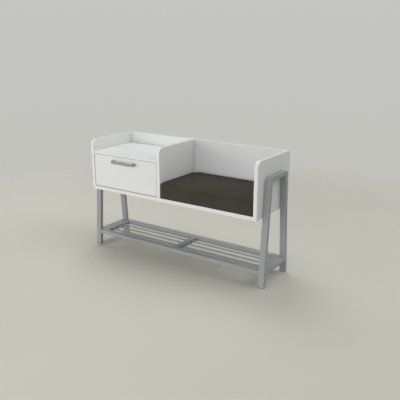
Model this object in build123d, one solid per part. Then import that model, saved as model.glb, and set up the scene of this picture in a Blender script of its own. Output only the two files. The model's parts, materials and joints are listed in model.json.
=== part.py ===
from build123d import *
import math
import os

# Bench with cabinet: a white board carcass (seat bay with loose cushion, and a
# drawer under an open tray) carried between two leaning tube frames, with a
# slatted shoe shelf low between the frames.
# Millimetres, +Z up, +X along the bench, the drawer opens towards -Y.
# Origin: on the floor, at the middle of the overall length and depth.

# ---------------------------------------------------------------- dimensions
LENGTH = 1000.0        # carcass length, outside the side panels
DEPTH = 320.0          # carcass depth
CARCASS_Z = 332.0      # underside of the carcass above the floor
HEIGHT = 268.0         # carcass height
BOARD = 18.0           # side, divider, bottom and back boards
TOP_BOARD = 15.0       # cabinet top board
TRAY_Z = 541.5         # upper face of the cabinet top
CORNER_R = 31.0        # rounded front top corner of sides and divider
EDGE_R = 0.8           # rounding of the board edges
DIVIDER_X = -41.0      # right face of the divider

TUBE_W = 30.0          # frame tube, along X
TUBE_D = 20.0          # frame tube, across
WALL = 1.5             # tube wall
TUBE_R = 1.6           # outer tube edge radius
SPLAY = 0.073          # lean of the legs, run over rise
FRONT_AT_CARCASS = 54.8   # front face of front leg at carcass underside, from the front
BACK_AT_CARCASS = 253.6   # back face of rear leg at carcass underside, from the front
FRAME_TOP = 521.0      # top of the leg frames
FRAME_R = 12.0         # rounded upper corners of the leg frames
GLIDE = 4.0            # visible height of the foot glides

SHELF_TOP = 81.0       # upper face of the shelf rails
RAIL_FRONT = 37.0      # front face of the front shelf rail
RAIL_BACK = 271.0      # back face of the rear shelf rail
RAIL_W = 30.0
RAIL_H = 20.0
ROD_D = 10.0
RODS = 3               # rods in each shelf bay

GAP = 3.0              # gap at each side of the inset drawer front
GAP_LOW = 3.5          # gap below it
GAP_TOP = 2.0          # gap above it
SETBACK = 1.5          # face of the drawer front, behind the carcass front
FRONT_T = 17.5         # back of the drawer front, behind the carcass front
BOX_T = 12.0           # drawer box boards
RUNNER = 12.5          # room for a runner each side of the drawer box
BOX_Z0, BOX_Z1 = 374.0, 494.0
BOX_BACK = 272.0       # back face of the drawer box
FLOOR_T = 4.0          # drawer bottom board

HANDLE_L = 150.0
HANDLE_OUT = 24.0      # how far the handle stands out from the carcass front
HANDLE_H = 15.0
HANDLE_Z = 498.5
HANDLE_LEG = 10.0
HANDLE_BAR = 8.0

CUSHION_H = 79.0

# ---------------------------------------------------------------- frame helpers
HX = LENGTH / 2
IX = HX - BOARD                       # inner faces of the side panels
HALF = BOARD / 2                      # fittings lie in the middle of a board
YC = (DEPTH - HANDLE_OUT) / 2         # middle of the overall depth
TOP = CARCASS_Z + HEIGHT
FLOOR = CARCASS_Z + BOARD             # upper face of the bottom panel
BACK_IN = DEPTH - BOARD               # inner face of the back panel
DIV_L = DIVIDER_X - BOARD             # left face of the divider
CX = (-IX + DIV_L) / 2                # middle of the drawer opening

os.makedirs("parts", exist_ok=True)
nodes = {}


def box(x0, x1, y0, y1, z0, z1):
    """Block between two corners; y is counted from the carcass front."""
    return Pos(x0, y0 - YC, z0) * Box(
        x1 - x0, y1 - y0, z1 - z0, align=(Align.MIN, Align.MIN, Align.MIN)
    )


def cyl_x(x0, x1, y, z, r):
    return Pos((x0 + x1) / 2, y - YC, z) * Rot(0, 90, 0) * Cylinder(r, abs(x1 - x0))


def cyl_y(x, y0, y1, z, r):
    return Pos(x, (y0 + y1) / 2 - YC, z) * Rot(90, 0, 0) * Cylinder(r, abs(y1 - y0))


def cyl_z(x, y, z0, z1, r):
    return Pos(x, y - YC, (z0 + z1) / 2) * Cylinder(r, abs(z1 - z0))


def cone_x(x0, x1, y, z, r0, r1):
    """Cone along X, radius r0 at x0 and r1 at x1 (x0 < x1)."""
    return Pos((x0 + x1) / 2, y - YC, z) * Rot(0, 90, 0) * Cone(r0, r1, x1 - x0)


def prism(pts, x0, x1):
    """(y, z) outline pushed out along X from x0 to x1."""
    face = Plane.YZ.offset(x0) * Polygon(
        *[(y - YC, z) for y, z in pts], align=None
    )
    return extrude(face, amount=x1 - x0)


def mirror_x(shape, x=0.0):
    return mirror(shape, about=Plane.YZ.offset(x))


def ease(shape, r=EDGE_R):
    """Round every edge of a board a little."""
    return fillet(shape.edges(), r)


def cut(shape, tools):
    tools = list(tools)
    return shape - tools if tools else shape


def group(shapes):
    return Compound(children=list(shapes))


def save(name, shape):
    nodes[name] = shape


# ---------------------------------------------------------------- hardware places
# Dowels 8 x 30, 12 mm into a side or divider and 18 mm into the joined board.
dowels, dowel_bores = [], []


def dowel_x(x_face, sign, y, z):
    """sign: direction from the face into the end of the joined board."""
    a, b = x_face - sign * 12, x_face + sign * 18
    dowels.append(cyl_x(min(a, b), max(a, b), y, z, 4.0))
    a, b = x_face - sign * 12.5, x_face + sign * 18.5
    dowel_bores.append(cyl_x(min(a, b), max(a, b), y, z, 4.05))


cams, cam_bores, cam_bolts, bolt_bores = [], [], [], []


def cam_set(x_face, sign, y, z, way):
    """Cam lock 24 mm from the board end, and its bolt into the side.
    way 'z': cam let into the underside (z is the bolt axis); 'y': into the rear face."""
    xc = x_face + sign * 24
    if way == "z":
        under = z - (HALF if z < TRAY_Z - 40 else 7.5)
        deep = 14.0 if z < TRAY_Z - 40 else 12.0
        cam = cyl_z(xc, y, under + 0.4, under + deep - 0.3, 7.45)
        cross = [
            box(xc - 4.5, xc + 4.5, y - 0.7, y + 0.7, under, under + 1.8),
            box(xc - 0.7, xc + 0.7, y - 4.5, y + 4.5, under, under + 1.8),
        ]
        bore = cyl_z(xc, y, under - 1, under + deep, 7.5)
    else:
        rear = y + HALF
        cam = cyl_y(xc, rear - 13.7, rear - 0.4, z, 7.45)
        cross = [
            box(xc - 4.5, xc + 4.5, rear - 1.8, rear, z - 0.7, z + 0.7),
            box(xc - 0.7, xc + 0.7, rear - 1.8, rear, z - 4.5, z + 4.5),
        ]
        bore = cyl_y(xc, rear - 14, rear + 1, z, 7.5)
    a, b = xc - sign * 9, xc + sign * 3.2
    throat = cyl_x(min(a, b), max(a, b), y, z, 3.4)
    cams.append(cam - cross - throat)
    cam_bores.append(bore)
    # Bolt: thread in the side, stem in the board end, head held by the cam.
    a, b = x_face - sign * 11, xc
    stem = cyl_x(min(a, b), max(a, b), y, z, 2.5)
    a, b = xc - sign * 0.5, xc + sign * 3.0
    head = cyl_x(min(a, b), max(a, b), y, z, 3.3)
    a, b = x_face - sign * 11, x_face - sign * 0.2
    thread = cyl_x(min(a, b), max(a, b), y, z, 2.95)
    cam_bolts.append(stem + head + thread)
    a, b = x_face, xc + sign * 3.2
    bolt_bores.append(cyl_x(min(a, b), max(a, b), y, z, 3.4))
    a, b = x_face - sign * 11.4, x_face
    bolt_bores.append(cyl_x(min(a, b), max(a, b), y, z, 3.0))


# bottom panel to the sides
for s in (-1, 1):
    face = s * IX
    for y in (60.0, 262.0):
        cam_set(face, -s, y, CARCASS_Z + HALF, "z")
    for y in (110.0, 205.0):
        dowel_x(face, -s, y, CARCASS_Z + HALF)
# back panel to the sides
for s in (-1, 1):
    face = s * IX
    for z in (395.0, 565.0):
        cam_set(face, -s, BACK_IN + HALF, z, "y")
    for z in (445.0, 515.0):
        dowel_x(face, -s, BACK_IN + HALF, z)
# cabinet top to the left side and to the divider
for face, s in ((-IX, 1), (DIV_L, -1)):
    for y in (45.0, 255.0):
        cam_set(face, s, y, TRAY_Z - 7.5, "z")
    for y in (115.0, 185.0):
        dowel_x(face, s, y, TRAY_Z - 7.5)

# divider to the bottom (from below) and to the back (from behind)
DIV_C = (DIVIDER_X + DIV_L) / 2
divider_screws, screw_bores = [], []
for y in (75.0, 235.0):
    s = cyl_z(DIV_C, y, CARCASS_Z + 0.3, CARCASS_Z + 50, 2.4)
    s += Pos(DIV_C, y - YC, CARCASS_Z + 0.3 + 2) * Cone(4.6, 2.4, 4.0)
    s -= Pos(DIV_C, y - YC, CARCASS_Z + 1.2) * extrude(RegularPolygon(2.0, 6), amount=2.2, both=True)
    divider_screws.append(s)
    screw_bores.append(cyl_z(DIV_C, y, CARCASS_Z - 1, CARCASS_Z + 50.5, 2.45))
    screw_bores.append(Pos(DIV_C, y - YC, CARCASS_Z + 2.25) * Cone(4.9, 2.45, 4.5))
for z in (405.0, 550.0):
    s = cyl_y(DIV_C, DEPTH - 50, DEPTH - 0.3, z, 2.4)
    s += Pos(DIV_C, DEPTH - 2.3 - YC, z) * Rot(90, 0, 0) * Cone(4.6, 2.4, 4.0)
    s -= Pos(DIV_C, DEPTH - 1.2 - YC, z) * Rot(90, 0, 0) * extrude(RegularPolygon(2.0, 6), amount=2.2, both=True)
    divider_screws.append(s)
    screw_bores.append(cyl_y(DIV_C, DEPTH - 50.5, DEPTH + 1, z, 2.45))
    screw_bores.append(Pos(DIV_C, DEPTH - 2.25 - YC, z) * Rot(90, 0, 0) * Cone(4.9, 2.45, 4.5))
for y in (45.0, 155.0):
    dowels.append(cyl_z(DIV_C, y, FLOOR - 12, FLOOR + 18, 4.0))
    dowel_bores.append(cyl_z(DIV_C, y, FLOOR - 12.5, FLOOR + 18.5, 4.05))
for z in (440.0, 500.0):
    dowels.append(cyl_y(DIV_C, BACK_IN - 18, BACK_IN + 12, z, 4.0))
    dowel_bores.append(cyl_y(DIV_C, BACK_IN - 18.5, BACK_IN + 12.5, z, 4.05))

# ---------------------------------------------------------------- leg frame lines
LEG_W = TUBE_D * math.hypot(1, SPLAY)     # level width of a leaning leg


def front_y(z):
    return FRONT_AT_CARCASS + SPLAY * (z - CARCASS_Z)


def back_y(z):
    return BACK_AT_CARCASS - SPLAY * (z - CARCASS_Z)


BOLT_Z = (360.0, 500.0)
frame_bolt_places = []
for z in BOLT_Z:
    frame_bolt_places += [(front_y(z) + LEG_W / 2, z), (back_y(z) - LEG_W / 2, z)]
SHELF_MID = SHELF_TOP - RAIL_H / 2
RAIL_BACK_IN = RAIL_FRONT + RAIL_W        # inner face of the front rail
RAIL_FRONT_IN = RAIL_BACK - RAIL_W        # inner face of the rear rail
pitch = (RAIL_FRONT_IN - RAIL_BACK_IN) / (RODS + 1)
rod_y = [RAIL_BACK_IN + pitch * (i + 1) for i in range(RODS)]
shelf_bolt_y = [(rod_y[0] + rod_y[1]) / 2, (rod_y[1] + rod_y[2]) / 2]

panel_bolt_bores = []
for s in (-1, 1):
    for y, z in frame_bolt_places:
        a, b = s * (IX - 1), s * (HX + 1)
        panel_bolt_bores.append(cyl_x(min(a, b), max(a, b), y, z, 3.25))
        # countersink, so that the head lies flush inside the bay
        panel_bolt_bores.append(cone_x(IX - 0.05, IX + 3.4, y, z, 6.7, 3.25) if s > 0
                                else cone_x(-IX - 3.4, -IX + 0.05, y, z, 3.25, 6.7))

# ---------------------------------------------------------------- runners
RX0 = -IX                              # left panel face
RXD = RX0 + RUNNER                     # left outer face of the drawer box
SHEET = 1.2
CH_Z0 = 371.0                          # underside of the cabinet runner
ROLL_R = 7.0
ROLL_LOW = CH_Z0 + SHEET
FRONT_ROLL_Y, FRONT_ROLL_Z = 34.0, ROLL_LOW + 0.4 + ROLL_R
REAR_ROLL_Y, REAR_ROLL_Z = 264.0, ROLL_LOW + 0.3 + ROLL_R
FLANGE_Z = FRONT_ROLL_Z + ROLL_R + 0.3  # underside of the drawer runner flange
LIP_Z = FLANGE_Z + SHEET + 1.4
CAB_RUN_Y0, CAB_RUN_Y1 = 22.0, 292.0
DRW_RUN_Y0, DRW_RUN_Y1 = 19.0, 271.5
cab_screw_at = [(70.0, LIP_Z - 3.3), (230.0, LIP_Z - 3.3)]   # above the path of the rear pin's head
drw_screw_at = [(60.0, 394.0), (150.0, 394.0), (235.0, 394.0)]

runner_bores = []                      # pilot holes in the panels
for side in (0, 1):
    for y, z in cab_screw_at:
        c = cyl_x(RX0 - 12.5, RX0 + 0.1, y, z, 1.55)
        runner_bores.append(c if side == 0 else mirror_x(c, CX))

# ---------------------------------------------------------------- carcass boards
all_bores = dowel_bores + bolt_bores + screw_bores + panel_bolt_bores + runner_bores


def near(shape, tools):
    """Only the tools whose box meets the shape's box."""
    b = shape.bounding_box()
    out = []
    for t in tools:
        k = t.bounding_box()
        if (k.min.X < b.max.X and k.max.X > b.min.X and k.min.Y < b.max.Y
                and k.max.Y > b.min.Y and k.min.Z < b.max.Z and k.max.Z > b.min.Z):
            out.append(t)
    return out


def corner_board(x0, x1, y1, z0):
    """Upright board with a rounded front top corner and eased edges."""
    b = box(x0, x1, 0, y1, z0, TOP)
    e = [e for e in b.edges().filter_by(Axis.X)
         if abs(e.center().Y + YC) < 1e-6 and abs(e.center().Z - TOP) < 1e-6]
    return ease(fillet(e, CORNER_R))


for name, shape in (
    ("left_side_panel", corner_board(-HX, -IX, DEPTH, CARCASS_Z)),
    ("right_side_panel", corner_board(IX, HX, DEPTH, CARCASS_Z)),
    ("divider_panel", corner_board(DIV_L, DIVIDER_X, BACK_IN, FLOOR)),
    ("bottom_panel", ease(box(-IX, IX, 0, DEPTH, CARCASS_Z, FLOOR))),
    ("back_panel", ease(box(-IX, IX, BACK_IN, DEPTH, FLOOR, TOP))),
    ("cabinet_top", ease(box(-IX, DIV_L, 0, BACK_IN, TRAY_Z - TOP_BOARD, TRAY_Z))),
):
    save(name, cut(shape, near(shape, all_bores + (
        cam_bores if name in ("bottom_panel", "back_panel", "cabinet_top") else []))))

save("carcass_dowels", group(dowels))
save("cam_locks", group(cams))
save("cam_bolts", group(cam_bolts))
save("divider_screws", group(divider_screws))


# ---------------------------------------------------------------- leg frames
def leg(front):
    """One leaning leg of the right frame: closed rounded top, open foot."""
    f = (lambda z: front_y(z)) if front else (lambda z: back_y(z) - LEG_W)
    x0, x1 = HX, HX + TUBE_W
    z0, z1 = GLIDE, FRAME_TOP
    body = prism([(f(z0), z0), (f(z0) + LEG_W, z0), (f(z1) + LEG_W, z1), (f(z1), z1)], x0, x1)
    y_corner = f(z1) if front else f(z1) + LEG_W
    e = [e for e in body.edges().filter_by(Axis.X)
         if abs(e.center().Y + YC - y_corner) < 1e-6 and abs(e.center().Z - z1) < 1e-6]
    body = fillet(e, FRAME_R)
    # soften the long tube edges
    long_edges = [e for e in body.edges()
                  if abs(e.tangent_at(0.5).X) < 1e-6 and e.center().Z > z0 + 1
                  and not (abs(e.center().Z - z1) < 1e-3)
                  and not (abs(e.length - LEG_W) < 0.05)]
    body = fillet(long_edges, TUBE_R)
    w = WALL * math.hypot(1, SPLAY)
    zi = z1 - WALL - (FRAME_R - WALL) * 0.9
    inner = prism(
        [(f(z0 - 1) + w, z0 - 1), (f(z0 - 1) + LEG_W - w, z0 - 1),
         (f(zi) + LEG_W - w, zi), (f(zi) + w, zi)],
        x0 + WALL, x1 - WALL)
    holes = []
    for y, z in frame_bolt_places:
        if (y < YC + 10) == front:
            holes.append(cyl_x(x0 - 1, x0 + WALL + 0.5, y, z, 3.25))
    return body - inner - holes


def cross_bar(z0, z1, holes):
    """Level bar welded between the legs of the right frame."""
    x0, x1 = HX, HX + TUBE_W
    lo = lambda z: front_y(z) + LEG_W
    hi = lambda z: back_y(z) - LEG_W
    body = prism([(lo(z0), z0), (hi(z0), z0), (hi(z1), z1), (lo(z1), z1)], x0, x1)
    long_edges = [e for e in body.edges() if abs(e.tangent_at(0.5).Y) > 0.999]
    body = fillet(long_edges, TUBE_R)
    inner = box(x0 + WALL, x1 - WALL, lo(z0) - 20, hi(z0) + 20, z0 + WALL, z1 - WALL)
    return body - inner - holes if holes else body - inner


lower_holes = [cyl_x(HX - 1, HX + WALL + 0.5, y, SHELF_MID, 3.25) for y in shelf_bolt_y]
right_frame = {
    "front_leg": leg(True),
    "rear_leg": leg(False),
    "frame_top_bar": cross_bar(FRAME_TOP - TUBE_D, FRAME_TOP, []),
    "frame_lower_bar": cross_bar(SHELF_TOP - RAIL_H, SHELF_TOP, lower_holes),
}
for n, shape in right_frame.items():
    save("right_" + n, shape)
    save("left_" + n, mirror_x(shape))

# Foot glides: a plate as large as the tube end and a plug up inside it.
glides = []
for front in (True, False):
    f = (lambda z: front_y(z)) if front else (lambda z: back_y(z) - LEG_W)
    x0, x1 = HX, HX + TUBE_W
    plate = prism([(f(0) + 0.8, 0), (f(0) + LEG_W - 0.8, 0), (f(GLIDE) + LEG_W - 0.2, GLIDE),
                   (f(GLIDE) + 0.2, GLIDE)], x0 + 0.2, x1 - 0.2)
    plate = fillet([e for e in plate.edges() if abs(e.tangent_at(0.5).X) < 1e-6
                    and abs(e.tangent_at(0.5).Z) > 0.5], 1.4)
    w = WALL * math.hypot(1, SPLAY) + 0.1
    plug = prism([(f(GLIDE) + w, GLIDE), (f(GLIDE) + LEG_W - w, GLIDE),
                  (f(GLIDE + 18) + LEG_W - w, GLIDE + 18), (f(GLIDE + 18) + w, GLIDE + 18)],
                 x0 + WALL + 0.1, x1 - WALL - 0.1)
    g = plate + plug
    glides += [g, mirror_x(g)]
save("foot_glides", group(glides))

# ---------------------------------------------------------------- shoe shelf
def tube_x(x0, x1, y0, y1, z0, z1):
    b = box(x0, x1, y0, y1, z0, z1)
    b = fillet(b.edges().filter_by(Axis.X), TUBE_R)
    return b - box(x0 - 1, x1 + 1, y0 + WALL, y1 - WALL, z0 + WALL, z1 - WALL)


def tube_y(x0, x1, y0, y1, z0, z1):
    b = box(x0, x1, y0, y1, z0, z1)
    b = fillet(b.edges().filter_by(Axis.Y), TUBE_R)
    return b - box(x0 + WALL, x1 - WALL, y0 - 1, y1 + 1, z0 + WALL, z1 - WALL)


SZ0, SZ1 = SHELF_TOP - RAIL_H, SHELF_TOP
save("shelf_front_rail", tube_x(-HX, HX, RAIL_FRONT, RAIL_BACK_IN, SZ0, SZ1))
save("shelf_rear_rail", tube_x(-HX, HX, RAIL_FRONT_IN, RAIL_BACK, SZ0, SZ1))
end_bar = tube_y(HX - RAIL_W, HX, RAIL_BACK_IN, RAIL_FRONT_IN, SZ0, SZ1)
end_bar = end_bar - [cyl_x(HX - RAIL_W - 1, HX + 1, y, SHELF_MID, 3.25) for y in shelf_bolt_y]
save("shelf_right_end_bar", end_bar)
save("shelf_left_end_bar", mirror_x(end_bar))
save("shelf_middle_bar", tube_y(-RAIL_W / 2, RAIL_W / 2, RAIL_BACK_IN, RAIL_FRONT_IN, SZ0, SZ1))
rods_r = [cyl_x(RAIL_W / 2, HX - RAIL_W, y, SHELF_MID, ROD_D / 2)
          - cyl_x(RAIL_W / 2 - 1, HX - RAIL_W + 1, y, SHELF_MID, ROD_D / 2 - 1) for y in rod_y]
save("shelf_right_rods", group(rods_r))
save("shelf_left_rods", group([mirror_x(r) for r in rods_r]))


# ---------------------------------------------------------------- bolts and nuts
def bolt_x(x_head, sign, y, z, length, head_r=6.3, head_h=1.9):
    """Low head bolt; sign is the way the shank points."""
    a, b = x_head, x_head + sign * length
    shank = cyl_x(min(a, b), max(a, b), y, z, 3.0)
    a, b = x_head - sign * head_h, x_head
    head = cyl_x(min(a, b), max(a, b), y, z, head_r)
    rim = [e for e in head.edges() if abs(e.center().X - (x_head - sign * head_h)) < 1e-6]
    head = fillet(rim, 1.2)
    a, b = x_head - sign * (head_h + 1), x_head + sign * 2.2
    key = Pos((a + b) / 2, y - YC, z) * Rot(0, 90, 0) * extrude(
        RegularPolygon(2.3, 6), amount=abs(b - a) / 2, both=True)
    return shank + head - key


def sunk_bolt_x(x_face, sign, y, z, length):
    """Countersunk bolt, its head just below the face; sign is the way the shank points."""
    a, b = x_face + sign * 0.3, x_face + sign * 3.5
    head = cone_x(a, b, y, z, 6.2, 3.0) if sign > 0 else cone_x(b, a, y, z, 3.0, 6.2)
    b = x_face + sign * length
    shank = cyl_x(min(a, b), max(a, b), y, z, 3.0)
    a, b = x_face - sign, x_face + sign * 3.0
    key = Pos((a + b) / 2, y - YC, z) * Rot(0, 90, 0) * extrude(
        RegularPolygon(2.3, 6), amount=abs(b - a) / 2, both=True)
    return shank + head - key


def nut_x(x_face, sign, y, z):
    """Welded nut on the inner side of a tube wall."""
    a, b = x_face, x_face + sign * 5.0
    n = Pos((a + b) / 2, y - YC, z) * Rot(0, 90, 0) * extrude(
        RegularPolygon(5.77, 6), amount=2.5, both=True)
    return n - cyl_x(min(a, b) - 1, max(a, b) + 1, y, z, 3.05)


frame_bolts, shelf_bolts, nuts = [], [], []
for s in (-1, 1):
    for y, z in frame_bolt_places:
        frame_bolts.append(sunk_bolt_x(s * IX, s, y, z, BOARD + WALL + 7))
        nuts.append(nut_x(s * (HX + WALL), s, y, z))
    for y in shelf_bolt_y:
        shelf_bolts.append(bolt_x(s * (HX - RAIL_W), s, y, SHELF_MID, RAIL_W + WALL + 7))
        nuts.append(nut_x(s * (HX + WALL), s, y, SHELF_MID))
save("frame_bolts", group(frame_bolts))
save("shelf_bolts", group(shelf_bolts))
save("weld_nuts", group(nuts))

# ---------------------------------------------------------------- drawer
fx0, fx1 = -IX + GAP, DIV_L - GAP
front = ease(box(fx0, fx1, SETBACK, FRONT_T, FLOOR + GAP_LOW, TRAY_Z - TOP_BOARD - GAP_TOP))
BX0, BX1 = RXD, 2 * CX - RXD                  # outside of the drawer box
FZ = BOX_Z0 + 10                              # underside of the drawer bottom
groove = box(BX0 + BOX_T - 6.2, BX1 - BOX_T + 6.2, FRONT_T - 6.2, BOX_BACK + 1, FZ - 0.1, FZ + FLOOR_T + 0.1)
post_x = [CX - HANDLE_L / 2 + HANDLE_LEG / 2, CX + HANDLE_L / 2 - HANDLE_LEG / 2]
handle_bores = [cyl_y(x, -1, FRONT_T + 1, HANDLE_Z, 2.25) for x in post_x]

drawer_dowels, drawer_dowel_bores = [], []
for x in (BX0 + BOX_T / 2, BX1 - BOX_T / 2):
    for z in (408.0, 474.0):
        drawer_dowels.append(cyl_y(x, FRONT_T - 10, FRONT_T + 20, z, 3.0))
        drawer_dowel_bores.append(cyl_y(x, FRONT_T - 10.4, FRONT_T + 20.4, z, 3.05))
drawer_screws, drawer_screw_bores = [], []
for side in (0, 1):
    for z in (420.0, 474.0):
        y = BOX_BACK - BOX_T / 2
        s = cyl_x(BX0 + 0.2, BX0 + 40, y, z, 1.75) + cone_x(BX0 + 0.2, BX0 + 2.2, y, z, 3.6, 1.75)
        b = [cyl_x(BX0 - 1, BX0 + 40.5, y, z, 1.8), cone_x(BX0 - 0.05, BX0 + 2.25, y, z, 3.9, 1.8)]
        if side:
            s, b = mirror_x(s, CX), [mirror_x(k, CX) for k in b]
        drawer_screws.append(s)
        drawer_screw_bores += b
drw_bores = []
for side in (0, 1):
    for y, z in drw_screw_at:
        c = cyl_x(RXD - 0.1, RXD + 9.5, y, z, 1.55)
        drw_bores.append(c if side == 0 else mirror_x(c, CX))

save("drawer_front", cut(front, [groove] + handle_bores + near(front, drawer_dowel_bores)))
side_l = box(BX0, BX0 + BOX_T, FRONT_T, BOX_BACK, BOX_Z0, BOX_Z1)
side_l = fillet(side_l.edges().filter_by(Axis.Y), 0.8)
side_r = mirror_x(side_l, CX)
dr_tools = [groove] + drawer_dowel_bores + drawer_screw_bores + drw_bores
save("drawer_left_side", cut(side_l, near(side_l, dr_tools)))
save("drawer_right_side", cut(side_r, near(side_r, dr_tools)))
back = box(BX0 + BOX_T, BX1 - BOX_T, BOX_BACK - BOX_T, BOX_BACK, FZ + FLOOR_T + 0.1, BOX_Z1)
save("drawer_back", cut(back, near(back, drawer_screw_bores)))
save("drawer_bottom", box(BX0 + BOX_T - 6, BX1 - BOX_T + 6, FRONT_T - 6, BOX_BACK - 0.2, FZ, FZ + FLOOR_T))
save("drawer_dowels", group(drawer_dowels))
save("drawer_back_screws", group(drawer_screws))

# Handle: a rounded bar bent back into the drawer front at both ends.
HANDLE_D = HANDLE_OUT + SETBACK
with BuildPart() as hp:
    with BuildSketch(Plane.XY.offset(HANDLE_Z - HANDLE_H / 2)) as hs:
        with Locations((CX, SETBACK - YC - HANDLE_D / 2)):
            Rectangle(HANDLE_L, HANDLE_D)
        fillet([v for v in hs.vertices() if v.Y < -YC - HANDLE_OUT + 1], 12)
        with Locations((CX, SETBACK - YC - (HANDLE_D - HANDLE_BAR) / 2)):
            Rectangle(HANDLE_L - 2 * HANDLE_LEG, HANDLE_D - HANDLE_BAR, mode=Mode.SUBTRACT)
        inner_v = [v for v in hs.vertices()
                   if abs(abs(v.X - CX) - (HANDLE_L / 2 - HANDLE_LEG)) < 1e-4
                   and v.Y < -YC - 1]
        fillet(inner_v, 4.5)
    extrude(amount=HANDLE_H)
h = hp.part
rims = [e for e in h.edges()
        if abs(e.center().Y + YC - SETBACK) > 1e-4
        and (abs(e.center().Z - HANDLE_Z - HANDLE_H / 2) < 1e-4
             or abs(e.center().Z - HANDLE_Z + HANDLE_H / 2) < 1e-4)]
h = fillet(rims, 3.4)
h = h - [cyl_y(x, -12.5, 3, HANDLE_Z, 2.05) for x in post_x]
save("drawer_handle", h)
hscrews = []
for x in post_x:
    s = cyl_y(x, -10, FRONT_T, HANDLE_Z, 2.0)
    hd = cyl_y(x, FRONT_T, FRONT_T + 2.4, HANDLE_Z, 4.0)
    hd = fillet([e for e in hd.edges() if abs(e.center().Y + YC - FRONT_T - 2.4) < 1e-6], 1.2)
    slot = [box(x - 2.6, x + 2.6, FRONT_T + 1.2, FRONT_T + 3, HANDLE_Z - 0.5, HANDLE_Z + 0.5),
            box(x - 0.5, x + 0.5, FRONT_T + 1.2, FRONT_T + 3, HANDLE_Z - 2.6, HANDLE_Z + 2.6)]
    hscrews.append(s + hd - slot)
save("handle_screws", group(hscrews))

# ---------------------------------------------------------------- runners, left side
PIN_R = 2.0
web_x = RX0 + SHEET
cab = (box(RX0, web_x, CAB_RUN_Y0, CAB_RUN_Y1, CH_Z0, LIP_Z + SHEET)
       + box(RX0, RX0 + 9.8, CAB_RUN_Y0, CAB_RUN_Y1, CH_Z0, CH_Z0 + SHEET)
       + box(RX0, RX0 + 8.5, CAB_RUN_Y0, CAB_RUN_Y1, LIP_Z, LIP_Z + SHEET))
cab = cab - [cyl_x(RX0 - 1, web_x + 1, y, z, 1.8) for y, z in cab_screw_at] \
    - cyl_x(RX0 - 1, web_x + 1, FRONT_ROLL_Y, FRONT_ROLL_Z, PIN_R)
dweb_x = RXD - SHEET
drw = (box(dweb_x, RXD, DRW_RUN_Y0, DRW_RUN_Y1, 374.0, 400.0)
       + box(RX0 + 3.4, RXD, DRW_RUN_Y0, DRW_RUN_Y1, FLANGE_Z, FLANGE_Z + SHEET))
drw = drw - [cyl_x(dweb_x - 1, RXD + 1, y, z, 1.8) for y, z in drw_screw_at] \
    - cyl_x(dweb_x - 1, RXD + 1, REAR_ROLL_Y, REAR_ROLL_Z, PIN_R)
roll_x0, roll_x1 = RX0 + 2.5, RX0 + 8.8


def roller(y, z):
    r = cyl_x(roll_x0, roll_x1, y, z, ROLL_R)
    r = fillet(r.edges(), 0.8)
    r = r - cyl_x(roll_x0 - 1, roll_x1 + 1, y, z, PIN_R + 0.06)
    # shallow recess and five dimples on the face towards the drawer
    r = r - (cyl_x(roll_x1 - 0.6, roll_x1 + 1, y, z, 5.6) - cyl_x(roll_x1 - 1, roll_x1 + 1, y, z, 3.4))
    return r


front_pin = cyl_x(RX0 + 0.05, RX0 + 9.4, FRONT_ROLL_Y, FRONT_ROLL_Z, PIN_R) \
    + cyl_x(RX0 + 9.0, RX0 + 10.0, FRONT_ROLL_Y, FRONT_ROLL_Z, 3.0)
rear_pin = cyl_x(RX0 + 2.0, RXD - 0.05, REAR_ROLL_Y, REAR_ROLL_Z, PIN_R) \
    + cyl_x(RX0 + 1.6, RX0 + 2.3, REAR_ROLL_Y, REAR_ROLL_Z, 2.8)
cab_screw = [cyl_x(RX0 - 12, web_x, y, z, 1.5) + cyl_x(web_x, web_x + 0.8, y, z, 3.0) for y, z in cab_screw_at]
drw_screw = [cyl_x(dweb_x, RXD + 9, y, z, 1.5) + cyl_x(dweb_x - 0.9, dweb_x, y, z, 3.2) for y, z in drw_screw_at]

for side, m in (("left", lambda s: s), ("right", lambda s: mirror_x(s, CX))):
    save(side + "_cabinet_runner", m(cab))
    save(side + "_drawer_runner", m(drw))
    save(side + "_front_roller", m(roller(FRONT_ROLL_Y, FRONT_ROLL_Z)))
    save(side + "_rear_roller", m(roller(REAR_ROLL_Y, REAR_ROLL_Z)))
save("front_roller_pins", group([front_pin, mirror_x(front_pin, CX)]))
save("rear_roller_pins", group([rear_pin, mirror_x(rear_pin, CX)]))
save("cabinet_runner_screws", group(cab_screw + [mirror_x(s, CX) for s in cab_screw]))
save("drawer_runner_screws", group(drw_screw + [mirror_x(s, CX) for s in drw_screw]))

# ---------------------------------------------------------------- seat cushion
cush = box(DIVIDER_X + 1.0, IX - 1.0, 1.0, BACK_IN - 1.0, FLOOR, FLOOR + CUSHION_H)
cush = fillet(cush.edges().filter_by(Axis.Z), 8)
cush = fillet([e for e in cush.edges() if abs(e.center().Z - FLOOR - CUSHION_H) < 1e-6], 6)
save("seat_cushion", cush)

# ---------------------------------------------------------------- write the parts
for name, shape in nodes.items():
    export_step(shape, os.path.join("parts", name + ".step"))

whole = Compound(children=[s for s in nodes.values()])
bb = whole.bounding_box()
print("nodes", len(nodes))
print("box", [round(v, 2) for v in (bb.min.X, bb.min.Y, bb.min.Z, bb.max.X, bb.max.Y, bb.max.Z)])
print("drawer middle X", CX, "handle post spacing", round(post_x[1] - post_x[0], 2), "rods at", rod_y)
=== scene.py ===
import json
import math

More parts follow.
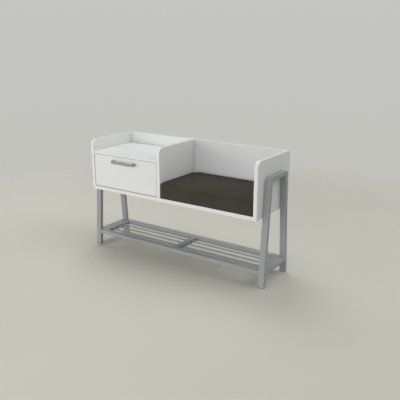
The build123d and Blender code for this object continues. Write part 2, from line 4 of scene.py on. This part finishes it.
import bmesh
import bpy
import numpy as np
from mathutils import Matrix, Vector


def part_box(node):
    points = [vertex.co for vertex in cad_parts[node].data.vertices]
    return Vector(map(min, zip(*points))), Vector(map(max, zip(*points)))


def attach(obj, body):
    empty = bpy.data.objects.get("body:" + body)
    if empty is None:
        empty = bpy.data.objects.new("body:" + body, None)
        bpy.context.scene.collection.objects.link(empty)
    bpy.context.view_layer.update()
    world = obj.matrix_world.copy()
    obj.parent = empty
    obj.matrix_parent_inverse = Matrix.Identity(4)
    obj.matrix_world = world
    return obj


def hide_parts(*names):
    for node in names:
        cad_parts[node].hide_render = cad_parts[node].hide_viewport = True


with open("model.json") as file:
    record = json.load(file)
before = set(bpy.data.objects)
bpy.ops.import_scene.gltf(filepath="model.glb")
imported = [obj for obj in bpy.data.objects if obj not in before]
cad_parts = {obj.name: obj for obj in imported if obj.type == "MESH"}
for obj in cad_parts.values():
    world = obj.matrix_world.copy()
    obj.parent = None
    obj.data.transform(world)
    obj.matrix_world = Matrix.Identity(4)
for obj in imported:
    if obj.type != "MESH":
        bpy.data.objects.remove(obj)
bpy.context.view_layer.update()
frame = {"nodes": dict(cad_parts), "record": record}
nodes = frame["nodes"]
slot_of = {s["node"]: s["material_slot"] for s in frame["record"]["subparts"]}
scene = bpy.context.scene


# ---------------------------------------------------------------- node helpers

class Graph:
    """A material's node tree, with short calls for the nodes used here."""

    def __init__(self, name):
        self.mat = bpy.data.materials.new(name)
        self.mat.use_nodes = True
        self.nt = self.mat.node_tree
        self.nt.nodes.clear()
        out = self.nt.nodes.new("ShaderNodeOutputMaterial")
        self.bsdf = self.nt.nodes.new("ShaderNodeBsdfPrincipled")
        self.nt.links.new(self.bsdf.outputs["BSDF"], out.inputs["Surface"])
        self._tc = None
        self._geo = None

    def put(self, socket, value):
        if isinstance(value, bpy.types.NodeSocket):
            self.nt.links.new(value, socket)
        elif value is not None:
            socket.default_value = value

    def set(self, **values):
        for key, value in values.items():
            self.put(self.bsdf.inputs[key.replace("_", " ")], value)

    def place(self):
        if self._tc is None:
            self._tc = self.nt.nodes.new("ShaderNodeTexCoord")
        return self._tc.outputs["Object"]

    def normal(self):
        if self._geo is None:
            self._geo = self.nt.nodes.new("ShaderNodeNewGeometry")
        return self._geo.outputs["True Normal"]

    def split(self, vector):
        n = self.nt.nodes.new("ShaderNodeSeparateXYZ")
        self.put(n.inputs[0], vector)
        return n.outputs

    def join(self, x, y, z):
        n = self.nt.nodes.new("ShaderNodeCombineXYZ")
        for i, v in enumerate((x, y, z)):
            self.put(n.inputs[i], v)
        return n.outputs[0]

    def math(self, op, a, b=None, c=None, clamp=False):
        n = self.nt.nodes.new("ShaderNodeMath")
        n.operation = op
        n.use_clamp = clamp
        for i, v in enumerate((a, b, c)):
            if v is not None:
                self.put(n.inputs[i], v)
        return n.outputs[0]

    def stretch(self, vector, scale):
        n = self.nt.nodes.new("ShaderNodeMapping")
        self.put(n.inputs["Vector"], vector)
        n.inputs["Scale"].default_value = scale
        return n.outputs[0]

    def noise(self, scale, detail=3.0, rough=0.55, vector=None, distort=0.0):
        n = self.nt.nodes.new("ShaderNodeTexNoise")
        self.put(n.inputs["Vector"], vector if vector is not None else self.place())
        n.inputs["Scale"].default_value = scale
        n.inputs["Detail"].default_value = detail
        n.inputs["Roughness"].default_value = rough
        n.inputs["Distortion"].default_value = distort
        return n.outputs["Fac"]

    def cells(self, scale, vector=None):
        n = self.nt.nodes.new("ShaderNodeTexVoronoi")
        self.put(n.inputs["Vector"], vector if vector is not None else self.place())
        n.inputs["Scale"].default_value = scale
        return n.outputs["Distance"]

    def span(self, value, lo, hi, to_lo, to_hi, smooth=False):
        n = self.nt.nodes.new("ShaderNodeMapRange")
        if smooth:
            n.interpolation_type = "SMOOTHSTEP"
        for i, v in enumerate((value, lo, hi, to_lo, to_hi)):
            self.put(n.inputs[i], v)
        return n.outputs[0]

    def mix(self, factor, a, b, kind="MIX"):
        n = self.nt.nodes.new("ShaderNodeMix")
        n.data_type = "RGBA"
        n.blend_type = kind
        n.clamp_factor = True
        self.put(n.inputs[0], factor)
        for i, v in ((6, a), (7, b)):
            self.put(n.inputs[i], v if isinstance(v, bpy.types.NodeSocket) else (*v, 1.0))
        return n.outputs[2]

    def grey(self, value):
        return self.join(value, value, value)

    def bump(self, height, distance, strength=1.0):
        n = self.nt.nodes.new("ShaderNodeBump")
        n.inputs["Strength"].default_value = strength
        n.inputs["Distance"].default_value = distance
        self.put(n.inputs["Height"], height)
        return n.outputs["Normal"]


def tone(c, k):
    return tuple(v * k for v in c)


# ---------------------------------------------------------------- materials

def board(name, axis, face, band, rough=0.44):
    """White melamine board. axis is the direction across the board: faces looking along it are the
    decor face, and the rest are the edge band, a little whiter and smoother, with a fine joint line."""
    g = Graph(name)
    across = g.math("ABSOLUTE", g.split(g.normal())[axis])
    is_band = g.span(across, 0.30, 0.62, 1.0, 0.0)
    joint = g.math("MULTIPLY", g.span(across, 0.45, 0.70, 0.0, 1.0), g.span(across, 0.80, 0.98, 1.0, 0.0))
    cloud = g.noise(2.6, 2.0)
    fleck = g.noise(420.0, 2.0)
    pearl = g.noise(1500.0, 3.0, 0.6)
    plain = g.mix(g.span(cloud, 0.35, 0.65, 0.0, 1.0), tone(face, 0.985), tone(face, 1.012))
    plain = g.mix(g.span(fleck, 0.45, 0.75, 0.0, 0.55), plain, tone(face, 0.962))
    edge = g.mix(g.span(fleck, 0.40, 0.70, 0.0, 1.0), tone(band, 1.0), tone(band, 0.985))
    colour = g.mix(is_band, plain, edge)
    colour = g.mix(g.math("MULTIPLY", joint, 0.30), colour, tone(face, 0.80))
    roughness = g.math("ADD", g.span(pearl, 0.3, 0.7, rough - 0.04, rough + 0.05), g.math("MULTIPLY", is_band, -0.07))
    g.set(Base_Color=colour, Roughness=roughness, Normal=g.bump(pearl, 0.00004, 0.55))
    return g.mat


def powder_coat(name, base):
    """Fine-textured powder coat on steel tube."""
    g = Graph(name)
    cloud = g.noise(5.0, 3.0)
    grit = g.noise(1900.0, 2.0, 0.6)
    peel = g.noise(520.0, 2.0)
    colour = g.mix(g.span(cloud, 0.3, 0.7, 0.0, 1.0), tone(base, 0.955), tone(base, 1.045))
    colour = g.mix(g.span(grit, 0.55, 0.80, 0.0, 0.5), colour, tone(base, 1.22))
    colour = g.mix(g.span(grit, 0.20, 0.42, 0.5, 0.0), colour, tone(base, 0.80))
    height = g.math("ADD", grit, g.math("MULTIPLY", peel, 1.6))
    g.set(Base_Color=colour, Roughness=g.span(peel, 0.3, 0.7, 0.44, 0.56), Metallic=0.0, Specular_IOR_Level=0.25,
          Normal=g.bump(height, 0.00006, 0.5))
    return g.mat


def satin_metal(name, base, rough, along, metallic=1.0):
    """Brushed metal: streaks run along one axis."""
    g = Graph(name)
    long = [900.0, 900.0, 900.0]
    long[along] = 22.0
    streak = g.noise(1.0, 3.0, 0.65, g.stretch(g.place(), tuple(long)))
    cloud = g.noise(40.0, 2.0)
    colour = g.mix(g.span(streak, 0.3, 0.7, 0.0, 1.0), tone(base, 0.86), tone(base, 1.10))
    colour = g.mix(g.span(cloud, 0.45, 0.75, 0.0, 0.4), colour, tone(base, 0.90))
    g.set(Base_Color=colour, Metallic=metallic, Roughness=g.span(streak, 0.25, 0.75, rough - 0.07, rough + 0.08),
          Normal=g.bump(streak, 0.00003, 0.5))
    return g.mat


def zinc(name, base, rough):
    """Zinc plating: small crystalline patches of slightly different gloss."""
    g = Graph(name)
    patch = g.cells(700.0)
    cloud = g.noise(160.0, 3.0)
    colour = g.mix(g.span(patch, 0.0, 0.7, 0.0, 1.0), tone(base, 1.10), tone(base, 0.86))
    colour = g.mix(g.span(cloud, 0.4, 0.7, 0.0, 0.35), colour, tone(base, 0.8))
    g.set(Base_Color=colour, Metallic=1.0, Roughness=g.span(cloud, 0.3, 0.7, rough - 0.06, rough + 0.08),
          Normal=g.bump(patch, 0.00003, 0.4))
    return g.mat


def coated_steel(name, base):
    """Pressed runner steel with a thin pale epoxy coat."""
    g = Graph(name)
    peel = g.noise(700.0, 3.0)
    cloud = g.noise(14.0, 2.0)
    colour = g.mix(g.span(cloud, 0.35, 0.65, 0.0, 1.0), tone(base, 0.96), tone(base, 1.03))
    colour = g.mix(g.span(peel, 0.6, 0.8, 0.0, 0.5), colour, tone(base, 0.88))
    g.set(Base_Color=colour, Roughness=g.span(peel, 0.3, 0.7, 0.30, 0.42), Normal=g.bump(peel, 0.00005, 0.4))
    return g.mat


def moulded(name, base, rough, grain=900.0):
    """Moulded plastic with a fine spark-eroded grain."""
    g = Graph(name)
    pit = g.noise(grain, 3.0, 0.6)
    cloud = g.noise(30.0, 2.0)
    colour = g.mix(g.span(cloud, 0.35, 0.65, 0.0, 1.0), tone(base, 0.93), tone(base, 1.06))
    colour = g.mix(g.span(pit, 0.55, 0.8, 0.0, 0.5), colour, tone(base, 1.2))
    g.set(Base_Color=colour, Roughness=g.span(pit, 0.3, 0.7, rough - 0.06, rough + 0.06),
          Normal=g.bump(pit, 0.00005, 0.6))
    return g.mat


def foil_board(name, base):
    """Paper-foiled drawer board: a faint linen emboss."""
    g = Graph(name)
    x, y, z = g.split(g.place())[:3]
    u = g.math("ADD", x, y)
    lines = g.noise(1.0, 2.0, 0.5, g.join(g.math("MULTIPLY", u, 1400.0), g.math("MULTIPLY", z, 160.0), 0.0))
    cross = g.noise(1.0, 2.0, 0.5, g.join(g.math("MULTIPLY", u, 160.0), g.math("MULTIPLY", z, 1400.0), 7.0))
    linen = g.math("MULTIPLY", g.math("ADD", lines, cross), 0.5)
    cloud = g.noise(4.0, 2.0)
    colour = g.mix(g.span(cloud, 0.35, 0.65, 0.0, 1.0), tone(base, 0.975), tone(base, 1.02))
    colour = g.mix(g.span(linen, 0.5, 0.75, 0.0, 0.6), colour, tone(base, 0.93))
    g.set(Base_Color=colour, Roughness=g.span(linen, 0.3, 0.7, 0.46, 0.58), Normal=g.bump(linen, 0.00005, 0.5))
    return g.mat


def beech(name, base):
    """Beech dowel: grain along the pin with short dark flecks."""
    g = Graph(name)
    grain = g.noise(1.0, 4.0, 0.6, g.stretch(g.place(), (60.0, 900.0, 900.0)))
    fleck = g.noise(1.0, 2.0, 0.5, g.stretch(g.place(), (240.0, 2200.0, 2200.0)))
    colour = g.mix(g.span(grain, 0.3, 0.7, 0.0, 1.0), tone(base, 0.80), tone(base, 1.12))
    colour = g.mix(g.span(fleck, 0.62, 0.78, 0.0, 0.7), colour, tone(base, 0.55))
    g.set(Base_Color=colour, Roughness=g.span(grain, 0.3, 0.7, 0.55, 0.70), Normal=g.bump(grain, 0.0001, 0.5))
    return g.mat


def woven(name, dark, light):
    """Plain-weave upholstery: warp and weft threads that pass over and under each other, mottled yarn, with painted
    shade darkening the gaps between the threads.
    """
    g = Graph(name)
    pitch = 2.0 * math.pi / 0.0026
    x, y, z = g.split(g.place())[:3]
    nx, ny, nz = g.split(g.normal())[:3]
    on_side = g.math("GREATER_THAN", g.math("ABSOLUTE", nx), 0.72)
    on_top = g.math("GREATER_THAN", g.math("ABSOLUTE", nz), 0.60)
    u = g.math("ADD", g.math("MULTIPLY", y, on_side), g.math("MULTIPLY", x, g.math("SUBTRACT", 1.0, on_side)))
    v = g.math("ADD", g.math("MULTIPLY", y, on_top), g.math("MULTIPLY", z, g.math("SUBTRACT", 1.0, on_top)))
    # a slow wander keeps the threads from being ruler straight
    wander = g.math("MULTIPLY", g.math("SUBTRACT", g.noise(45.0, 2.0), 0.5), 0.0022)
    u = g.math("ADD", u, wander)
    v = g.math("SUBTRACT", v, wander)
    su = g.math("SINE", g.math("MULTIPLY", u, pitch))
    sv = g.math("SINE", g.math("MULTIPLY", v, pitch))
    over = g.math("MULTIPLY", su, sv)
    cu = g.math("ABSOLUTE", g.math("COSINE", g.math("MULTIPLY", u, pitch * 0.5)))
    cv = g.math("ABSOLUTE", g.math("COSINE", g.math("MULTIPLY", v, pitch * 0.5)))
    warp = g.math("ADD", cu, g.math("MULTIPLY", over, 0.5))
    weft = g.math("SUBTRACT", cv, g.math("MULTIPLY", over, 0.5))
    thread = g.math("MAXIMUM", warp, weft)
    is_warp = g.math("GREATER_THAN", warp, weft)
    slub = g.noise(1.0, 3.0, 0.6, g.join(g.math("MULTIPLY", u, 900.0), g.math("MULTIPLY", v, 120.0), 0.0))
    slub2 = g.noise(1.0, 3.0, 0.6, g.join(g.math("MULTIPLY", u, 120.0), g.math("MULTIPLY", v, 900.0), 3.0))
    yarn = g.math("ADD", g.math("MULTIPLY", slub, is_warp),
                  g.math("MULTIPLY", slub2, g.math("SUBTRACT", 1.0, is_warp)))
    cloud = g.noise(9.0, 3.0)
    colour = g.mix(g.span(yarn, 0.34, 0.66, 0.0, 1.0), dark, light)
    # painted shade: the gaps between the threads are darkened as if they lay in shadow
    colour = g.mix(g.span(thread, 0.25, 0.95, 0.75, 0.0), colour, tone(dark, 0.45))
    colour = g.mix(g.span(cloud, 0.35, 0.68, 0.0, 0.35), colour, tone(light, 1.05))
    height = g.math("ADD", g.math("MULTIPLY", thread, 0.8), g.math("MULTIPLY", yarn, 0.35))
    g.set(Base_Color=colour, Roughness=g.span(yarn, 0.3, 0.7, 0.84, 0.96), Specular_IOR_Level=0.04,
          Sheen_Weight=0.01, Sheen_Roughness=0.45, Sheen_Tint=(0.75, 0.72, 0.66, 1.0),
          Normal=g.bump(height, 0.0006, 0.7))
    return g.mat


WHITE = (0.805, 0.813, 0.810)
BAND = (0.834, 0.835, 0.828)
across_x = board("white_board_upright", 0, WHITE, BAND)
across_y = board("white_board_front", 1, WHITE, BAND)
across_z = board("white_board_level", 2, WHITE, BAND)
frame_grey = powder_coat("grey_powder_coat", (0.355, 0.369, 0.377))
looks = {
    "drawer_board": foil_board("drawer_foil", (0.70, 0.71, 0.70)),
    "drawer_bottom_board": foil_board("drawer_floor", (0.68, 0.68, 0.66)),
    "beech_dowel": beech("beech_grain", (0.58, 0.40, 0.23)),
    "grey_frame": frame_grey,
    "glide_plastic": moulded("glide_grey", (0.215, 0.220, 0.225), 0.55),
    "zinc_steel": zinc("zinc_plate", (0.62, 0.63, 0.64), 0.34),
    "runner_steel": coated_steel("runner_coat", (0.70, 0.71, 0.70)),
    "handle_metal": satin_metal("handle_satin", (0.355, 0.355, 0.353), 0.50, 0, 0.25),
    "roller_nylon": moulded("roller_white", (0.72, 0.71, 0.66), 0.42),
    "seat_fabric": woven("seat_weave", (0.0465, 0.0425, 0.0340), (0.0830, 0.0765, 0.0620)),
}
upright = ("left_side_panel", "right_side_panel", "divider_panel")
level = ("bottom_panel", "cabinet_top")
for name, obj in nodes.items():
    slot = slot_of[name]
    if slot == "white_board":
        mat = across_x if name in upright else across_z if name in level else across_y
    else:
        mat = looks[slot]
    obj.data.materials.clear()
    obj.data.materials.append(mat)


# ---------------------------------------------------------------- seat cushion

def steps(lo, hi, edge, fine, coarse):
    """Grid lines from lo to hi: fine ones within edge of both ends, coarse between."""
    n_edge = max(2, round(edge / fine))
    n_mid = max(2, round((hi - lo - 2 * edge) / coarse))
    return np.concatenate([np.linspace(lo, lo + edge, n_edge, endpoint=False),
                           np.linspace(lo + edge, hi - edge, n_mid, endpoint=False),
                           np.linspace(hi - edge, hi, n_edge + 1)])


def ease_in(v):
    """Smooth step from 0 to 1."""
    v = np.clip(v, 0, 1)
    return v * v * (3 - 2 * v)


def box_grid(xs, ys, zs):
    """Closed quad mesh over the six faces of a box, one vertex per surface grid point."""
    index, verts, faces = {}, [], []
    last = (len(xs) - 1, len(ys) - 1, len(zs) - 1)

    def at(i, j, k):
        if (i, j, k) not in index:
            index[(i, j, k)] = len(verts)
            verts.append((xs[i], ys[j], zs[k]))
        return index[(i, j, k)]

    for i in range(last[0]):
        for j in range(last[1]):
            faces.append((at(i, j, 0), at(i, j + 1, 0), at(i + 1, j + 1, 0), at(i + 1, j, 0)))
            k = last[2]
            faces.append((at(i, j, k), at(i + 1, j, k), at(i + 1, j + 1, k), at(i, j + 1, k)))
    for i in range(last[0]):
        for k in range(last[2]):
            faces.append((at(i, 0, k), at(i + 1, 0, k), at(i + 1, 0, k + 1), at(i, 0, k + 1)))
            j = last[1]
            faces.append((at(i, j, k), at(i, j, k + 1), at(i + 1, j, k + 1), at(i + 1, j, k)))
    for j in range(last[1]):
        for k in range(last[2]):
            faces.append((at(0, j, k), at(0, j, k + 1), at(0, j + 1, k + 1), at(0, j + 1, k)))
            i = last[0]
            faces.append((at(i, j, k), at(i, j + 1, k), at(i, j + 1, k + 1), at(i, j, k + 1)))
    return index, np.array(verts), faces, last


def smooth_noise(p, scale, seed):
    """Sum of a few fixed sine waves: repeatable low waves over the cloth."""
    rng = np.random.default_rng(seed)
    out = np.zeros(len(p))
    for _ in range(7):
        d = rng.normal(size=3)
        d /= np.linalg.norm(d)
        out += np.sin(p @ d * (2 * math.pi / scale) * rng.uniform(0.6, 1.5) + rng.uniform(0, 6.28))
    return out / 7.0


def make_cushion():
    low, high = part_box("seat_cushion")
    lo, hi = np.array(low), np.array(high)
    # the room it may fill: up to the walls of its bay, and a little proud in front and on top
    room_lo = lo - np.array([0.0006, 0.0056, 0.0])
    room_hi = hi + np.array([0.0006, 0.0006, 0.0045])
    # the cut of the cover, before it swells
    a = lo + np.array([0.0004, -0.0012, 0.0])
    b = hi + np.array([-0.0004, -0.0004, 0.0005])
    index, p, faces, last = box_grid(steps(a[0], b[0], 0.016, 0.0026, 0.0062),
                                     steps(a[1], b[1], 0.016, 0.0026, 0.0062),
                                     steps(a[2], b[2], 0.012, 0.0024, 0.0060))
    ijk = np.zeros((len(p), 3), int)
    for key, n in index.items():
        ijk[n] = key
    high_half = ijk[:, 2] > last[2] // 2
    # round the corners in plan
    r = 0.0065
    q = np.clip(p[:, :2], a[:2] + r, b[:2] - r)
    d = p[:, :2] - q
    ln = np.linalg.norm(d, axis=1)
    reach = np.maximum(np.abs(d).max(axis=1), 1e-12)
    p[:, :2] = np.where(ln[:, None] > 1e-9, q + d * (reach / np.maximum(ln, 1e-12))[:, None], p[:, :2])
    # then the long edges: crisp where it stands on the board, soft on top, softest along the front
    front = np.exp(-((p[:, 1] - a[1]) / 0.022) ** 2) * ease_in((p[:, 0] - a[0]) / 0.18)
    r = np.where(high_half, 0.0045 + 0.0050 * front, 0.0012)[:, None]
    inset = np.clip(p, a + r, b - r)
    d = p - inset
    ln = np.linalg.norm(d, axis=1)
    reach = np.maximum(np.abs(d).max(axis=1), 1e-12)
    p = np.where(ln[:, None] > 1e-9, inset + d * (reach / np.maximum(ln, 1e-12))[:, None], p)
    # the front edge sags, all but its left end, the top falls off towards the back, and the upper corners drop a little
    rise = np.clip((p[:, 2] - a[2]) / (b[2] - a[2]) * 2 - 1, 0, 1) ** 1.5
    drop = 0.0120 * front + 0.0015 * ease_in(1 - (b[1] - p[:, 1]) / 0.075)
    for cx, cy, deep in ((a[0], a[1], 0.0030), (b[0], a[1], 0.0010), (a[0], b[1], 0.0048), (b[0], b[1], 0.0030)):
        drop = drop + deep * np.exp(-((p[:, 0] - cx) ** 2 + (p[:, 1] - cy) ** 2) / 0.022 ** 2)
    p[:, 2] -= drop * rise
    # the foot of the front settles forward, a little over the edge of the board
    foot = ease_in(1 - (p[:, 2] - a[2]) / 0.030) * ease_in(1 - (p[:, 1] - a[1]) / 0.012)
    p[:, 1] -= 0.0038 * foot
    mesh = bpy.data.meshes.new("seat_pad")
    mesh.from_pydata([tuple(v) for v in p], [], faces)
    obj = bpy.data.objects.new("seat_pad", mesh)
    scene.collection.objects.link(obj)
    start = p.copy()
    # the sewn seams: the edges where the top and the bottom panel meet the side band
    on_x = (ijk[:, 0] == 0) | (ijk[:, 0] == last[0])
    on_y = (ijk[:, 1] == 0) | (ijk[:, 1] == last[1])
    side = on_x | on_y
    top_seam = side & (ijk[:, 2] == last[2])
    low_seam = side & (ijk[:, 2] == 0)
    held = obj.vertex_groups.new(name="seam")
    held.add([int(n) for n in np.flatnonzero(top_seam | low_seam)], 0.35, "REPLACE")
    mod = obj.modifiers.new("swell", "CLOTH")
    c = mod.settings
    c.quality = 6
    c.mass = 0.25
    c.tension_stiffness = c.compression_stiffness = 18.0
    c.shear_stiffness = 9.0
    c.bending_stiffness = 0.8
    c.use_pressure = True
    c.uniform_pressure_force = 4.0
    c.effector_weights.gravity = 0.0
    c.vertex_group_mass = "seam"
    c.pin_stiffness = 0.6
    mod.collision_settings.use_collision = False
    mod.collision_settings.use_self_collision = False
    mod.point_cache.frame_start, mod.point_cache.frame_end = 1, 20
    for f in range(1, 21):
        scene.frame_set(f)
    dg = bpy.context.evaluated_depsgraph_get()
    done = obj.evaluated_get(dg).to_mesh()
    co = np.zeros(len(p) * 3)
    done.vertices.foreach_get("co", co)
    p = co.reshape(-1, 3)
    obj.evaluated_get(dg).to_mesh_clear()
    obj.modifiers.remove(mod)
    obj.vertex_groups.clear()
    scene.frame_set(1)
    move = p - start
    far = np.linalg.norm(move, axis=1)
    cap = 0.0042
    p = start + move * (cap * np.tanh(far / cap) / np.maximum(far, 1e-9))[:, None]
    # the top seam draws the cloth in, and the panels pucker beside it
    u = p - (a + b) / 2
    inward = np.zeros_like(p)
    inward[:, 0] = -np.sign(u[:, 0]) * on_x
    inward[:, 1] = -np.sign(u[:, 1]) * on_y
    inward[:, 2] = -np.sign(u[:, 2])
    inward /= np.maximum(np.linalg.norm(inward, axis=1), 1e-9)[:, None]
    right = ease_in(((p[:, 0] - a[0]) / (b[0] - a[0]) - 0.25) / 0.40) * (ijk[:, 1] == 0)
    p += inward * ((0.0028 + 0.0052 * right) * top_seam)[:, None]
    ring = np.minimum.reduce([ijk[:, 0], last[0] - ijk[:, 0], ijk[:, 1], last[1] - ijk[:, 1]])
    near = np.where(side, np.minimum(last[2] - ijk[:, 2], ijk[:, 2]), ring).astype(float)
    along = np.where(on_y, p[:, 0], p[:, 1])
    pucker = np.sin(along / 0.0135 * 2 * math.pi + 2.2 * np.sin(along * 37.0)) * np.exp(-near / 2.2)
    out = np.zeros_like(p)
    out[:, 0] = np.sign(u[:, 0]) * on_x
    out[:, 1] = np.sign(u[:, 1]) * on_y
    out[:, 2] = np.where(side, 0, np.sign(u[:, 2]))
    calm = (near > 0) & high_half
    p += out * (pucker * 0.00035 * calm)[:, None]
    # slow waves of a foam block under the cover
    top = np.clip((p[:, 2] - (b[2] - 0.012)) / 0.012, 0, 1)
    p[:, 2] += top * smooth_noise(p, 0.30, 3) * 0.0011
    # it lies flat on the board, and stays clear of the walls of its bay
    p[:, 2] = np.clip(p[:, 2], room_lo[2] + 0.0002, room_hi[2])
    p[:, 0] = np.clip(p[:, 0], room_lo[0], room_hi[0])
    p[:, 1] = np.clip(p[:, 1], room_lo[1], room_hi[1])
    mesh.vertices.foreach_set("co", p.ravel())
    mesh.update()
    sub = obj.modifiers.new("fine", "SUBSURF")
    sub.levels = sub.render_levels = 1
    dg = bpy.context.evaluated_depsgraph_get()
    final = bpy.data.meshes.new_from_object(obj.evaluated_get(dg))
    obj.modifiers.clear()
    obj.data = final
    bpy.data.meshes.remove(mesh)
    final.name = "seat_pad"
    bm = bmesh.new()
    bm.from_mesh(final)
    bmesh.ops.recalc_face_normals(bm, faces=bm.faces)
    bm.to_mesh(final)
    bm.free()
    for f in final.polygons:
        f.use_smooth = True
    final.materials.clear()
    final.materials.append(looks["seat_fabric"])
    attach(obj, "cushion")
    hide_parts("seat_cushion")
    return obj


make_cushion()


# ---------------------------------------------------------------- floor, light, camera

def make_floor():
    """A round pale floor that thins out into the backdrop, so that no edge or horizon shows."""
    bm = bmesh.new()
    bmesh.ops.create_circle(bm, cap_ends=True, segments=96, radius=3.4)
    mesh = bpy.data.meshes.new("floor")
    bm.to_mesh(mesh)
    bm.free()
    obj = bpy.data.objects.new("floor", mesh)
    scene.collection.objects.link(obj)
    g = Graph("pale_floor")
    x, y = g.split(g.place())[:2]
    far = g.math("SQRT", g.math("ADD", g.math("MULTIPLY", x, x), g.math("MULTIPLY", y, y)))
    cloud = g.noise(0.9, 2.0)
    colour = g.mix(g.span(cloud, 0.35, 0.65, 0.0, 1.0), (0.605, 0.595, 0.523), (0.620, 0.610, 0.538))
    g.set(Base_Color=colour, Roughness=g.span(cloud, 0.3, 0.7, 0.62, 0.70), Alpha=g.span(far, 1.3, 2.6, 1.0, 0.0, True))
    mesh.materials.append(g.mat)


make_floor()


def area(name, pos, aim, size, power, tint=(1.0, 1.0, 1.0)):
    data = bpy.data.lights.new(name, "AREA")
    data.shape = "RECTANGLE"
    data.size, data.size_y = size
    data.energy = power
    data.color = tint
    obj = bpy.data.objects.new(name, data)
    obj.location = pos
    obj.rotation_euler = (Vector(aim) - Vector(pos)).to_track_quat("-Z", "Y").to_euler()
    obj.visible_camera = False
    scene.collection.objects.link(obj)


middle = (0.0, 0.0, 0.35)


def around(azimuth, elevation, distance=4.0):
    """A place round the object; azimuth 0 is in front, 90 to the right."""
    a, e = math.radians(azimuth), math.radians(elevation)
    return (distance * math.sin(a) * math.cos(e), -distance * math.cos(a) * math.cos(e),
            middle[2] + distance * math.sin(e))


area("left", around(-110, 12), middle, (2.0, 2.0), 18.5)
area("front_left_far", around(-45, 12), middle, (2.0, 2.0), 30.0)
area("front_left", around(-15, 12), middle, (2.0, 2.0), 30.0)
area("front_right", around(15, 12), middle, (2.0, 2.0), 36.8)
area("right_high", around(110, 42), middle, (2.0, 2.0), 27.8)
area("right_rear", around(150, 25), middle, (2.0, 2.0), 16.5)
area("top_right", around(90, 70), middle, (2.0, 2.0), 21.0)
area("top_rear", around(180, 70), middle, (2.0, 2.0), 5.0)
area("top_rear_left", around(-135, 60), middle, (2.0, 2.0), 52.0)

world = bpy.data.worlds.new("studio")
world.use_nodes = True
world.node_tree.nodes["Background"].inputs["Color"].default_value = (0.20, 0.20, 0.20, 1.0)
world.node_tree.nodes["Background"].inputs["Strength"].default_value = 1.0
scene.world = world


def make_backdrop():
    """A pale round backdrop, far outside the lights, that glows with a painted gradient of light, darker low down and
    lighter higher up. Only the camera sees it, so it adds no light.
    """
    bm = bmesh.new()
    bmesh.ops.create_uvsphere(bm, u_segments=64, v_segments=32, radius=12.0)
    mesh = bpy.data.meshes.new("backdrop")
    bm.to_mesh(mesh)
    bm.free()
    for f in mesh.polygons:
        f.use_smooth = True
    obj = bpy.data.objects.new("backdrop", mesh)
    scene.collection.objects.link(obj)
    g = Graph("pale_backdrop")
    height = g.split(g.place())[2]
    # painted light: the backdrop's glow is darker low down and lighter higher up
    painted_glow = g.mix(g.span(height, -3.0, 5.0, 0.0, 1.0), (0.540, 0.538, 0.504), (0.566, 0.574, 0.552))
    g.set(Base_Color=(0.0, 0.0, 0.0, 1.0), Roughness=1.0, Specular_IOR_Level=0.0, Emission_Color=painted_glow, Emission_Strength=1.0)
    mesh.materials.append(g.mat)
    obj.visible_diffuse = obj.visible_glossy = obj.visible_transmission = False
    obj.visible_volume_scatter = obj.visible_shadow = False


make_backdrop()
scene.view_settings.view_transform = "Standard"

cam = bpy.data.cameras.new("camera")
cam.sensor_width = 36.0
cam.lens = 533.1 * 36.0 / 400.0
cam.clip_end = 60.0
camera = bpy.data.objects.new("camera", cam)
camera.location = (1.5476, -2.1287, 1.0963)
camera.rotation_euler = (math.radians(73.39), 0.0, math.radians(34.25))
scene.collection.objects.link(camera)
scene.camera = camera
